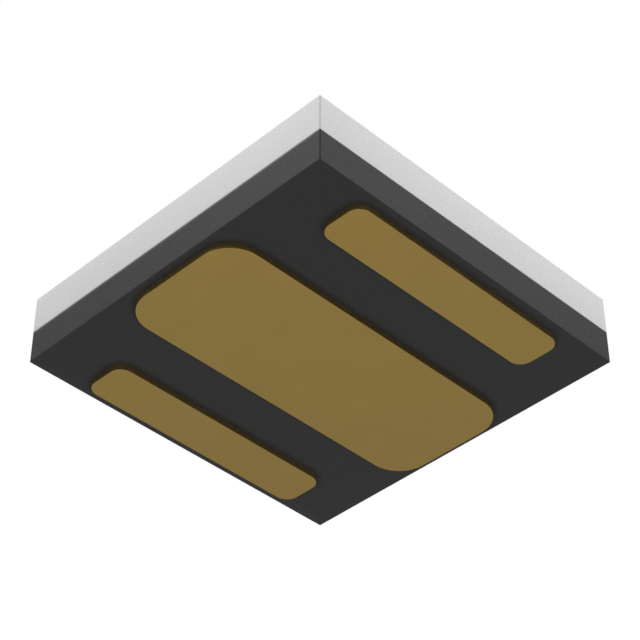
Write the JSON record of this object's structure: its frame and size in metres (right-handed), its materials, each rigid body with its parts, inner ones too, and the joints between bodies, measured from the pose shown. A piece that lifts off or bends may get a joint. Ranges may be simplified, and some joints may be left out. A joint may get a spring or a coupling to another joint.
{
  "type": "surface-mount led in a square ceramic package",
  "caption": "Flat square surface-mount LED: dark ceramic tile under white moulded silicone, with a wide thermal pad between an anode pad and a cathode pad on its underside.",
  "frame": {"origin": "middle of the solder face: centre of the square package in the plane of the three pads' faces", "axes": "+Z from the solder pads towards the light-emitting face; Y along the length of the pads; +X towards the anode pad"},
  "size_m": [0.0034, 0.0034, 0.0007],
  "materials": {
    "ceramic": "matte",
    "white_silicone": "matte",
    "gold_plating": "satin",
    "copper": "satin",
    "gold_tin": "matte",
    "sapphire": "gloss",
    "clear_silicone": "gloss",
    "phosphor": "matte",
    "silicon": "gloss",
    "silver_epoxy": "matte",
    "gold_wire": "polished"
  },
  "bodies": {
    "root": {"ceramic_substrate": "ceramic", "thermal_pad": "gold_plating", "anode_pad": "gold_plating", "cathode_pad": "gold_plating", "white_silicone": "white_silicone", "anode_vias": "copper", "cathode_vias": "copper", "anode_trace": "copper", "cathode_trace": "copper", "anode_die_bond": "gold_tin", "cathode_die_bond": "gold_tin", "led_chip": "sapphire", "phosphor_bond": "clear_silicone", "phosphor_plate": "phosphor", "esd_diode": "silicon", "esd_die_bond": "silver_epoxy", "esd_bond_wire": "gold_wire"}
  },
  "joints": []
}
